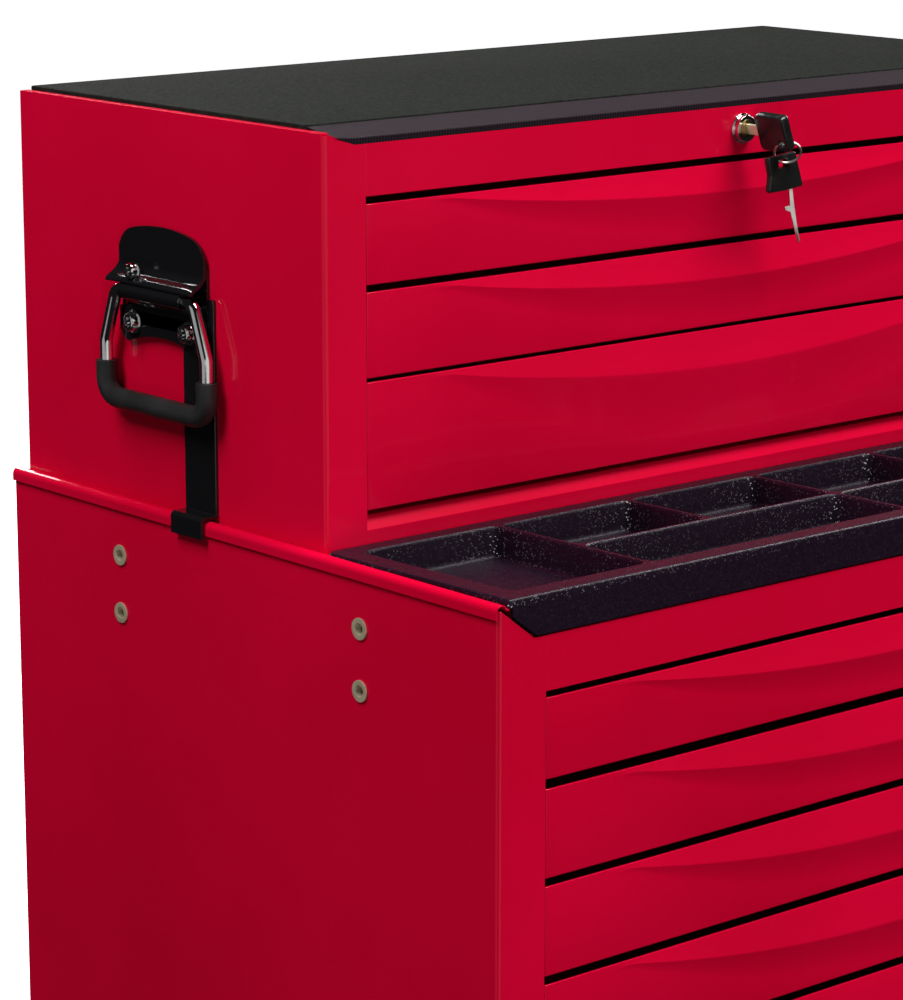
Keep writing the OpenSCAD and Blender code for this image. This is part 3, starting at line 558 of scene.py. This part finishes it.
def tray_apron(lo, hi):
    """The apron that hangs over the cabinet's front rail."""
    side = 329.5 * MM
    low, top = hi.z - 23.5 * MM, hi.z - 1.5 * MM
    outline = [(-side, top), (-side, hi.z - 10 * MM), (-side + 18 * MM, low),
               (side - 18 * MM, low), (side, hi.z - 10 * MM), (side, top)]
    bm = bmesh.new()
    loft(bm, [[(x, y, z) for x, z in outline] for y in (lo.y + 0.05 * MM, lo.y + 2 * MM)])
    bmesh.ops.bevel(bm, geom=list(bm.edges), offset=0.5 * MM, segments=2, affect="EDGES")
    return make_object("tray_apron", bm, MATS["tray_plastic"], 30)


def make_tray():
    """The tray with its cells cut out, its rim sinking a little to the rear, and its apron."""
    lo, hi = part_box("tool_tray")
    tray = tray_body(lo, hi)
    for cell in tray_cells(lo, hi):
        cut_with(tray, tray_pocket(*cell, hi.z - CELL_DEPTH, hi.z))
    rim_low = hi.z - 4 * MM
    for v in tray.data.vertices:
        if v.co.z > rim_low:
            v.co.z -= REAR_SINK * (v.co.y - lo.y) / (hi.y - lo.y)
    dress(tray, "tray_plastic", "tray", "tool_tray")
    dress(tray_apron(lo, hi), "tray_plastic", "tray")


# ------------------------------------------------------------------ mat

def make_mat():
    """The mat's grained top sheet and its ribbed front bevel, which meet in a groove."""
    lo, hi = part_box("top_mat")
    x, bevel, lip = hi.x, 25 * MM, 3.9 * MM
    low_x = x - 15.5 * MM
    seat = hi.z - 6.4 * MM
    soft = 0.8 * MM
    front = lo.y + bevel
    corners = (1 * MM,) * 4
    rings = []
    for inset, z in ((0, seat), (0, hi.z - soft), (soft * 0.3, hi.z - soft * 0.3), (soft, hi.z)):
        rings.append(round_rect(-x + inset, x - inset, front + inset, hi.y - inset, corners, z))
    bm = bmesh.new()
    loft(bm, rings)
    sheet = make_object("mat_sheet", bm, MATS["mat_rubber"], 50)
    dress(sheet, "mat_rubber", "chest", "top_mat")
    ends = seat + 0.8 * MM
    rings = []
    for cx, foot in ((-x, ends), (-low_x, lo.z), (low_x, lo.z), (x, ends)):
        rise = max(foot, lo.z + 0.1 * MM)
        top = max(lo.z + lip, foot + 0.6 * MM)
        rings.append([(cx, lo.y, rise), (cx, lo.y, top - 0.5 * MM), (cx, lo.y + 0.4 * MM, top),
                      (cx, front - 0.6 * MM, hi.z - 0.9 * MM), (cx, front - 0.1 * MM, hi.z - 1.6 * MM),
                      (cx, front - 0.1 * MM, max(seat, foot))])
    bm = bmesh.new()
    loft(bm, rings)
    edge = make_object("mat_ribbed_edge", bm, MATS["mat_edge"], 30)
    dress(edge, "mat_rubber", "chest")


# ------------------------------------------------------------------ keys

KEY_TURN = math.radians(20)
SPARE_TURN = math.radians(-27)
# where the ring passes through each head, in millimetres from the key's front and middle
KEY_HOLE = (2.1, 5.0, -5.6)
SPARE_HOLE = (5.9, 12.0, -18.6)
RING_R = 8.2 * MM
RING_WIRE = 0.6 * MM
HEAD_LENGTH = 24 * MM
HEAD_HALF = 3.4 * MM
# level, and to the camera's right
VIEW_RIGHT = Vector((0.766, -0.643, 0))


def make_key():
    """The key in the lock: a moulded head on a steel neck, turned with the plug."""
    lo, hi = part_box("key")
    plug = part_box("lock_cylinder")
    z = (plug[0].z + plug[1].z) / 2
    front = lo.y
    turn = Matrix.Translation((0, 0, z)) @ Matrix.Rotation(-KEY_TURN, 4, "Y")
    back = front + HEAD_LENGTH
    head = [(front, -11.5 * MM), (back, -12 * MM), (back, 12 * MM), (front, 11.5 * MM)]
    bm = bmesh.new()
    plate(bm, rounded_outline(head, 3 * MM), 0, -HEAD_HALF, HEAD_HALF, 1.1 * MM)
    bmesh.ops.transform(bm, matrix=turn, verts=bm.verts)
    piece = make_object("key_head", bm, MATS["key_plastic"], 45)
    bm = bmesh.new()
    hole_y, hole_z, reach = front + 5 * MM, -6 * MM, 9 * MM
    tube(bm, [(-reach, hole_y, hole_z), (reach, hole_y, hole_z)], 2.6 * MM, 24)
    bmesh.ops.transform(bm, matrix=turn, verts=bm.verts)
    cut_with(piece, bm)
    dress(piece, "key_plastic", "chest_lock", "key")
    start, half = back - 1 * MM, 3.2 * MM
    neck = [(start, -half), (hi.y, -half), (hi.y, half), (start, half)]
    bm = bmesh.new()
    plate(bm, rounded_outline(neck, 0.6 * MM), 0, -0.9 * MM, 0.9 * MM, 0.2 * MM)
    bmesh.ops.transform(bm, matrix=turn, verts=bm.verts)
    blade = make_object("key_neck", bm, MATS["nickel"], 40)
    dress(blade, "nickel", "chest_lock")


def make_spare_key():
    """The spare key, its head and blade hanging flat in front of the lock."""
    lo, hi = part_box("key")
    y = lo.y + 12 * MM
    z = (lo.z + hi.z) / 2
    head = [(-7.4, -15.4), (5, -14.2), (17, -12.9), (21.2, -25), (24.5, -35), (9.5, -36.6),
            (-5.5, -37.2), (-4.6, -27)]
    bm = bmesh.new()
    outline = rounded_outline([(a * MM, z + b * MM) for a, b in head], 1.6 * MM)
    plate(bm, outline, 1, y - 2 * MM, y + 2 * MM, 0.9 * MM)
    key = make_object("spare_key_head", bm, MATS["key_plastic"], 40)
    hole = [(2.0, -17.4), (9.4, -16.8), (9.8, -21.8), (2.4, -22.4)]
    bm = bmesh.new()
    loft(bm, [[(a * MM, depth, z + b * MM) for a, b in hole] for depth in (y - 0.01, y + 0.01)])
    cut_with(key, bm)
    dress(key, "key_plastic", "chest")
    blade = [(13.8, -35), (15.8, -34.8), (17.4, -46), (19.2, -57), (21.6, -69), (20.8, -70),
             (18.2, -62), (14.9, -50.2), (11.8, -49.2), (11.2, -47.4), (14.8, -46.6)]
    bm = bmesh.new()
    plate(bm, [(a * MM, z + b * MM) for a, b in blade], 1, y - 1 * MM, y + 1 * MM, 0.25 * MM)
    pivot = Matrix.Translation((15.5 * MM, y, z))
    turn = pivot @ Matrix.Rotation(SPARE_TURN, 4, "Z") @ pivot.inverted()
    bmesh.ops.transform(bm, matrix=turn, verts=bm.verts)
    blade_piece = make_object("spare_key_blade", bm, MATS["key_steel"], 40)
    dress(blade_piece, "nickel", "chest")


def make_key_ring():
    """A split ring of two turns that passes through the holes of both key heads."""
    lo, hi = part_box("key")
    origin = Vector((0, lo.y, (lo.z + hi.z) / 2))
    upper = origin + Vector(KEY_HOLE) * MM
    lower = origin + Vector(SPARE_HOLE) * MM
    down = (lower - upper).normalized()
    across = (VIEW_RIGHT - VIEW_RIGHT.dot(down) * down).normalized()
    through = down.cross(across)
    half = (lower - upper).length / 2
    steps, turns, pitch = 96, 2, 1.2 * MM
    centre = (upper + lower) / 2 + math.sqrt(RING_R ** 2 - half ** 2) * across
    path = []
    for i in range(steps + 1):
        a = 2 * math.pi * turns * i / steps
        flat = RING_R * (math.cos(a) * across + math.sin(a) * down)
        path.append(centre + flat + (i / steps - 0.5) * pitch * through)
    bm = bmesh.new()
    tube(bm, path, RING_WIRE, 10)
    ring = make_object("split_ring", bm, MATS["key_steel"], 60)
    dress(ring, "chrome", "chest")


# ------------------------------------------------------------------ carrying handles

# everything here is in millimetres: u out from the panel, v along it, w above its bottom edge
DOME_HALF = 43
CHANNEL_HALF = 31
PIVOT = (9, 133)
ROD_R = 4
GRIP_R = 6.5
GRIP_TOP = 87
# a bolt's v, w, the u of its flange and its flange's radius
LOWER_BOLT = (28, 113, 4, 7.2)
REAR_BOLT = (20, 145.5, 9.0, 6.0)


def handle_frame(side):
    """The chest's side face, the handle's middle, the side panel's bottom edge and the side."""
    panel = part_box("chest_left_side")[0]
    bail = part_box("bail_left")
    return panel.x, (bail[0].y + bail[1].y) / 2, panel.z, side


def at_side(place, u, v, w):
    """The point u out from the panel, v along it and w above the chest's bottom edge."""
    panel, middle, bottom, side = place
    return (side * (-panel + u * MM), middle + v * MM, bottom + w * MM)


def arc(centre, r, start, end, steps):
    """Points (u, w) round a centre between two angles in degrees."""
    angles = [math.radians(start + (end - start) * i / steps) for i in range(steps + 1)]
    return [(centre[0] + r * math.cos(a), centre[1] + r * math.sin(a)) for a in angles]


def dome_top(v):
    """Height of the plate's domed top edge at v along it."""
    s = abs(v) / DOME_HALF
    return 173.3 - 6.5 * s ** 2 - 9.0 * s ** 10


def sheet_strip(bm, place, columns, profile_at, thick):
    """A pressed strip: a (u, w) profile at each v, thickened inward."""
    rings = []
    for v in columns:
        line = profile_at(v)
        inner = []
        for i, (u, w) in enumerate(line):
            a, b = line[max(i - 1, 0)], line[min(i + 1, len(line) - 1)]
            along = Vector((b[0] - a[0], b[1] - a[1])).normalized()
            inner.append((u + along.y * thick, w - along.x * thick))
        rings.append([at_side(place, u, v, w) for u, w in line + inner[::-1]])
    loft(bm, rings)


def hood_profile(v):
    """Down the flat dome, out through the flare and round its rolled lip."""
    top = dome_top(v)
    flick = (abs(v) / DOME_HALF) ** 8
    flat = [(4, top), (4, 0.5 * top + 73.5), (4.1, 148)]
    flare = [(4.7, 146.2), (6.2, 144.4), (8.4, 142.8), (10.8, 141.4), (12.7, 140.0)]
    lip = [(13.5, 138.6), (13.3, 137.6)]
    return flat + [(u + flick, w) for u, w in flare + lip]


def channel_profile(v):
    """From the hood's inside, round the pivot rod and down to the lower flange."""
    return ([(5, 143.5), (8.4, 140.4), (12.2, 137.6)] + arc(PIVOT, 5.9, 15, -100, 10)
            + [(5.5, 125.6), (4.4, 123.6), (4.1, 120), (4.1, 112)])


def flange_profile(v):
    """The lower flange, scooped along its bottom edge."""
    scoop_r = 105
    scoop = 1.2 + math.sqrt(scoop_r ** 2 - v ** 2)
    corner = 0.0 if abs(v) < 36 else (abs(v) - 36) * 0.6
    return [(4.1, 122.5 - 0.25 * corner), (4.1, 114), (4.1, scoop + 2.6 * corner ** 0.9)]


def make_handle_plate(side, name):
    """The pressed plate: hood, channel round the rod and scooped lower flange."""
    place = handle_frame(side)
    bm = bmesh.new()
    wide = [DOME_HALF * math.sin(math.radians(a)) for a in range(-90, 91, 5)]
    narrow = [-CHANNEL_HALF + 2 * CHANNEL_HALF * i / 12 for i in range(13)]
    sheet_strip(bm, place, wide, hood_profile, 2)
    sheet_strip(bm, place, narrow, channel_profile, 1.6)
    sheet_strip(bm, place, wide, flange_profile, 1.8)
    piece = make_object(name, bm, MATS["black_paint"], 50)
    soften(piece, 0.0005)
    return piece


def make_bolt(bm, place, v, w, u0, size):
    """A flanged cap bolt with a fluted rim and a recessed socket."""
    rings = []
    outline = [(0, 1.0), (0.9, 1.0), (1.3, 0.8), (4.6, 0.78), (5.4, 0.66), (5.5, 0.42), (3.6, 0.38)]
    sides = 36
    for depth, scale in outline:
        flute = 0.05 if 1.0 < depth < 5.0 else 0.0
        ring = []
        for k in range(sides):
            a = 2 * math.pi * k / sides
            r = size * (scale + flute * math.cos(12 * a))
            ring.append(at_side(place, u0 + depth, v + r * math.cos(a), w + r * math.sin(a)))
        rings.append(ring)
    loft(bm, rings)


def make_handle_bolts(side, name):
    """The two lower bolts, either side of the middle."""
    place = handle_frame(side)
    v, w, u, size = LOWER_BOLT
    bm = bmesh.new()
    for way in (-1, 1):
        make_bolt(bm, place, way * v, w, u, size)
    return make_object(name, bm, MATS["chrome"], 40)


def make_rear_bolt(side, name):
    """The upper rear bolt, which stands in front of the hood."""
    bm = bmesh.new()
    make_bolt(bm, handle_frame(side), *REAR_BOLT)
    return make_object(name, bm, MATS["chrome"], 40)


def bail_path(place):
    """The bail's centre line: in from the pivot, down, across under the grip and back."""
    u, w = PIVOT
    half = [(20, w), (39, w), (51, 100), (51, 65)]
    corners = [(u, -v, h) for v, h in half] + [(u, v, h) for v, h in half[::-1]]
    bends = [r * MM for r in (8, 12, 12, 12, 12, 8)]
    return rounded_path([at_side(place, *c) for c in corners], bends, 8)


def make_bail(side, name, body):
    """One bail: its chromed rod and the rubber grip over the lower part."""
    place = handle_frame(side)
    path = bail_path(place)
    bm = bmesh.new()
    tube(bm, path, ROD_R * MM, 28)
    rod = make_object(name + "_rod", bm, MATS["chrome"], 60)
    dress(rod, "chrome", body, "bail_" + body.split("_")[0])
    top = at_side(place, 0, 0, GRIP_TOP)[2]
    covered = [p for p in path if p.z < top]
    ends = [Vector((covered[i].x, covered[i].y, top)) for i in (0, -1)]
    bm = bmesh.new()
    tube(bm, [ends[0]] + covered + [ends[1]], GRIP_R * MM, 32)
    grip = make_object(name + "_grip", bm, MATS["grip_rubber"], 60)
    dress(grip, "grip_rubber", body, "grip_" + body.split("_")[0])


def make_handles():
    """Both handles; the left pieces stand in for the CAD nodes that hold both sides."""
    sides = ((-1, "left"), (1, "right"))
    plates = [make_handle_plate(side, f"handle_plate_{name}") for side, name in sides]
    bolts = [make_handle_bolts(side, f"handle_bolts_{name}") for side, name in sides]
    rear = [make_rear_bolt(side, f"handle_rear_bolt_{name}") for side, name in sides]
    for piece in plates:
        dress(piece, "black_paint", "chest")
    for piece in bolts + rear:
        dress(piece, "chrome", "chest")
    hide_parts("handle_plates")
    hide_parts("handle_bolts")
    make_bail(-1, "left_bail", "left_bail")
    make_bail(1, "right_bail", "right_bail")


# ------------------------------------------------------------------ CAD nodes

def dress_cad():
    """Materials and softened edges for every CAD node that shows."""
    slots = {s["node"]: s["material_slot"] for s in frame["record"]["subparts"]}
    widths = {"red_paint": 0.00025, "mat_rubber": 0.0008, "black_paint": 0.0004,
              "tray_plastic": 0.0006, "key_plastic": 0.0012, "brake_plastic": 0.001}
    for name, obj in frame["nodes"].items():
        slot = slots[name]
        finish_cad(obj, MATS[slot], widths.get(slot, 0.0003))


# ------------------------------------------------------------------ wheels

WHEEL_SIDES = 64
# closed outlines, as (width, radius) in parts of the wheel's own half width and radius
TYRE = [(-0.8, 0.70), (-0.96, 0.80), (-0.98, 0.88), (-0.86, 0.955), (-0.5, 0.995), (0.5, 0.995),
        (0.86, 0.955), (0.98, 0.88), (0.96, 0.80), (0.8, 0.70)]
HUB = [(-0.8, 0.702), (-0.8, 0.60), (-0.4, 0.55), (-0.4, 0.34), (-0.92, 0.28), (-0.92, 0.13),
       (0.92, 0.13), (0.92, 0.28), (0.4, 0.34), (0.4, 0.55), (0.8, 0.60), (0.8, 0.702)]


def turned(name, mat, centre, half, r, outline):
    """A ring turned about Y from a closed outline."""
    bm = bmesh.new()
    rings = []
    for across, out in outline + outline[:1]:
        ring = []
        for k in range(WHEEL_SIDES):
            a = 2 * math.pi * k / WHEEL_SIDES
            spoke = Vector((math.cos(a), 0, math.sin(a))) * (out * r)
            ring.append(centre + spoke + Vector((0, across * half, 0)))
        rings.append(ring)
    loft(bm, rings, caps=False)
    bmesh.ops.remove_doubles(bm, verts=bm.verts, dist=0.01 * MM)
    return make_object(name, bm, mat, 40)


def make_wheels():
    """Each castor wheel as a rubber tyre on a ribbed nylon hub."""
    for place in ("front_right", "rear_right", "front_left", "rear_left"):
        node = "wheel_" + place
        lo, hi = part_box(node)
        size = (lo + hi) / 2, (hi.y - lo.y) / 2, (hi.z - lo.z) / 2
        tyre = turned("tyre_" + place, MATS["wheel_rubber"], *size, TYRE)
        dress(tyre, "wheel_rubber", node, node)
        hub = turned("hub_" + place, MATS["hub_plastic"], *size, HUB)
        dress(hub, "wheel_rubber", node)


# ------------------------------------------------------------------ stage

FLOOR_HALF = 60
FLOOR_GLOW = 0.96


def make_stage():
    """Pale floor that neither mirrors nor bounces onto the object."""
    bm = bmesh.new()
    bmesh.ops.create_grid(bm, x_segments=1, y_segments=1, size=FLOOR_HALF)
    floor_mat = new_material("pale_floor", (0.92, 0.92, 0.92), 0.9, specular=0.05)
    shader_of(floor_mat).inputs["Emission Color"].default_value = (1, 1, 1, 1)
    shader_of(floor_mat).inputs["Emission Strength"].default_value = FLOOR_GLOW
    tint(floor_mat, 0.8, (0.90, 0.90, 0.90), (0.94, 0.94, 0.94))
    floor = make_object("floor", bm, floor_mat)
    floor.visible_glossy = False
    floor.visible_diffuse = False


# The world's own colour stays the default dark grey of 0.05, so a strength of 20 is white.
SKY = (("From Min", -0.2), ("From Max", 0.5), ("To Min", 0.16), ("To Max", 0.9))
WHITE = 20.0
UNLIT = 0.05
# azimuth in degrees, strength, and the cosines at a panel's outer and inner edge
PANELS = ((-102, 12.0, 0.86, 0.90), (180, 6.5, 0.86, 0.90), (-141, 9.0, 0.975, 0.985))


def make_world():
    """A soft sky, white to the camera; mirrors see a dark studio with three bright panels."""
    world = bpy.data.worlds.new("studio")
    bpy.context.scene.world = world
    world.use_nodes = True
    tree = world.node_tree
    sky = tree.nodes["Background"]

    def node(kind, **values):
        fresh = tree.nodes.new(kind)
        for key, value in values.items():
            if key in fresh.inputs:
                fresh.inputs[key].default_value = value
            else:
                setattr(fresh, key, value)
        return fresh

    def wire(a, out, b, into):
        tree.links.new(a.outputs[out], b.inputs[into])

    coord = node("ShaderNodeTexCoord")
    split = node("ShaderNodeSeparateXYZ")
    wire(coord, "Generated", split, "Vector")
    height = node("ShaderNodeMapRange")
    for key, value in SKY:
        height.inputs[key].default_value = value
    wire(split, "Z", height, "Value")
    mirrored = None
    for azimuth, strength, outer, inner in PANELS:
        a = math.radians(azimuth)
        facing = node("ShaderNodeVectorMath", operation="DOT_PRODUCT")
        facing.inputs[1].default_value = (math.cos(a), math.sin(a), 0)
        wire(coord, "Generated", facing, 0)
        panel = node("ShaderNodeMapRange")
        for key, value in (("From Min", outer), ("From Max", inner), ("To Min", UNLIT),
                           ("To Max", strength)):
            panel.inputs[key].default_value = value
        wire(facing, "Value", panel, "Value")
        if mirrored:
            total = node("ShaderNodeMath", operation="ADD")
            wire(mirrored, 0, total, 0)
            wire(panel, "Result", total, 1)
            mirrored = total
        else:
            mirrored = panel
    path = node("ShaderNodeLightPath")
    pick = node("ShaderNodeMix")
    wire(height, "Result", pick, "A")
    wire(mirrored, "Value", pick, "B")
    wire(path, "Is Glossy Ray", pick, "Factor")
    seen = node("ShaderNodeMix", B=WHITE)
    wire(pick, "Result", seen, "A")
    wire(path, "Is Camera Ray", seen, "Factor")
    wire(seen, "Result", sky, "Strength")


MIDDLE = (0, 0, 0.75)
# name, place, aim, size, power, and whether it shows in what mirrors
LIGHTS = (
    ("key_light", (1.0, -2.2, 5.2), MIDDLE, (3.2, 2.4), 325, True),
    ("front_fill", (0.7, -3.4, 1.1), (0, 0, 0.7), (2.6, 1.4), 25, False),
    ("side_light", (-1.7, 0.2, 2.9), (0, 0, 1.0), (0.8, 1.4), 62, False),
    ("edge_light", (-1.45, -1.75, 0.62), (-0.33, -0.07, 0.95), (0.16, 0.9), 8, False),
    ("back_light", (0.8, 3.4, 2.8), MIDDLE, (2.0, 1.2), 110, True),
    ("right_light", (3.2, 0.4, 2.6), MIDDLE, (0.9, 1.8), 80, True),
)


def soft_box(name, place, aim, size, power, mirrored):
    """A rectangular soft light."""
    light = bpy.data.lights.new(name, "AREA")
    light.shape = "RECTANGLE"
    light.size, light.size_y = size
    light.energy = power
    obj = bpy.data.objects.new(name, light)
    obj.location = place
    obj.rotation_euler = (Vector(aim) - Vector(place)).to_track_quat("-Z", "Y").to_euler()
    obj.visible_glossy = mirrored
    bpy.context.scene.collection.objects.link(obj)


LENS = 127.9
CAMERA_PLACE = (-1.5600, -1.6277, 1.2836)
PITCH_DOWN = 12.69
YAW = -40.39


def make_camera():
    """The photographer's place, in front, to the left and above."""
    cam = bpy.data.cameras.new("camera")
    cam.sensor_width = 36
    cam.lens = LENS
    cam.clip_start, cam.clip_end = 0.05, 200
    obj = bpy.data.objects.new("camera", cam)
    obj.location = CAMERA_PLACE
    obj.rotation_euler = (math.radians(90 - PITCH_DOWN), 0, math.radians(YAW))
    bpy.context.scene.collection.objects.link(obj)
    bpy.context.scene.camera = obj


# ------------------------------------------------------------------ the scene

dress_cad()
make_drawers()
make_tray()
make_mat()
make_key()
make_spare_key()
make_key_ring()
make_handles()
make_wheels()
make_stage()
make_world()
for light in LIGHTS:
    soft_box(*light)
make_camera()
bpy.context.scene.view_settings.view_transform = "Standard"
